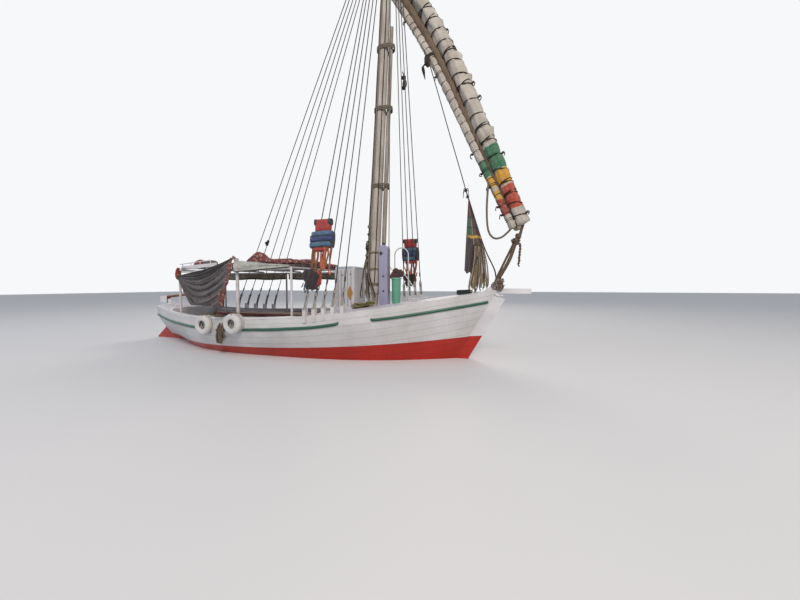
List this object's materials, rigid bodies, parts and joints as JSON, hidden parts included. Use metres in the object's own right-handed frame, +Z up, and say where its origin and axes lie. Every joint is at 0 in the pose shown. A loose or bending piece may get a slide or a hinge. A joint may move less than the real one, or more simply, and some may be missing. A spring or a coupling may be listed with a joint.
{
  "type": "river felucca",
  "caption": "Open wooden river sailing boat with a raked mast, a long furled lateen yard, an awning over the cockpit and an outboard rudder.",
  "frame": {"origin": "on the centreline amidships, at the waterline", "axes": "+X to the bow, +Y to port, +Z up"},
  "size_m": [8.4371, 2.5363, 13.1243],
  "materials": {
    "red_paint": "painted, satin",
    "white_paint": "painted, satin",
    "green_paint": "painted, satin",
    "lavender_paint": "painted, satin",
    "deck_paint": "painted, worn",
    "bare_wood": "oiled",
    "mast_wood": "worn paint",
    "grey_pole": "weathered",
    "steel_wire": "dull",
    "iron_black": "painted",
    "white_tube": "painted",
    "sail_cloth": "woven",
    "awning_cloth": "woven",
    "curtain_cloth": "woven",
    "maroon_cloth": "woven",
    "cushion_cloth": "woven",
    "vest_cloth": "woven",
    "flag_cloth": "woven",
    "green_plastic": "matt",
    "fender_rubber": "painted",
    "rope": "laid"
  },
  "bodies": {
    "hull": {"awning_beams": "white_tube", "awning_curtain": "curtain_cloth", "awning_gusset": "awning_cloth", "awning_posts_port": "white_tube", "awning_posts_starboard": "white_tube", "awning_rail_port": "white_tube", "awning_rail_starboard": "white_tube", "awning_roof": "awning_cloth", "awning_valance": "awning_cloth", "backstays": "steel_wire", "bench_cushions": "cushion_cloth", "bow_beam": "white_paint", "cockpit_sole": "deck_paint", "deck_bin": "green_plastic", "deck_coil": "rope", "deck_hoop": "white_tube", "fenders": "fender_rubber", "flag": "flag_cloth", "foredeck": "deck_paint", "galley_cabinet": "white_paint", "hull_bottom": "red_paint", "hull_topsides": "white_paint", "keel": "red_paint", "life_jacket_port": "vest_cloth", "life_jacket_starboard": "vest_cloth", "mast": "mast_wood", "mast_post": "lavender_paint", "masthead_collar": "iron_black", "roof_bundles": "maroon_cloth", "rubbing_strakes": "green_paint", "rudder_gudgeons": "iron_black", "shrouds_port": "steel_wire", "shrouds_starboard": "steel_wire", "side_benches": "white_paint", "spare_poles": "grey_pole", "stem": "white_paint", "stern_deck": "deck_paint", "sternpost": "white_paint"},
    "yard": {"yard_spar": "bare_wood", "yard_sling": "rope", "sail_roll_fore": "sail_cloth", "sail_roll_aft": "sail_cloth"},
    "rudder": {"rudder_blade": "white_paint", "tiller": "bare_wood"}
  },
  "joints": [
    {"name": "yard_swing", "type": "hinge", "parent": "hull", "child": "yard", "pos_m": [1.94659, 0, 6.92], "axis": [0.0523, 0, 0.9986], "range_deg": [-25, 10]},
    {"name": "rudder_turn", "type": "hinge", "parent": "hull", "child": "rudder", "pos_m": [-3.421, 0, 0], "axis": [-0.2398, 0, 0.9708], "range_deg": [-35, 35]}
  ]
}
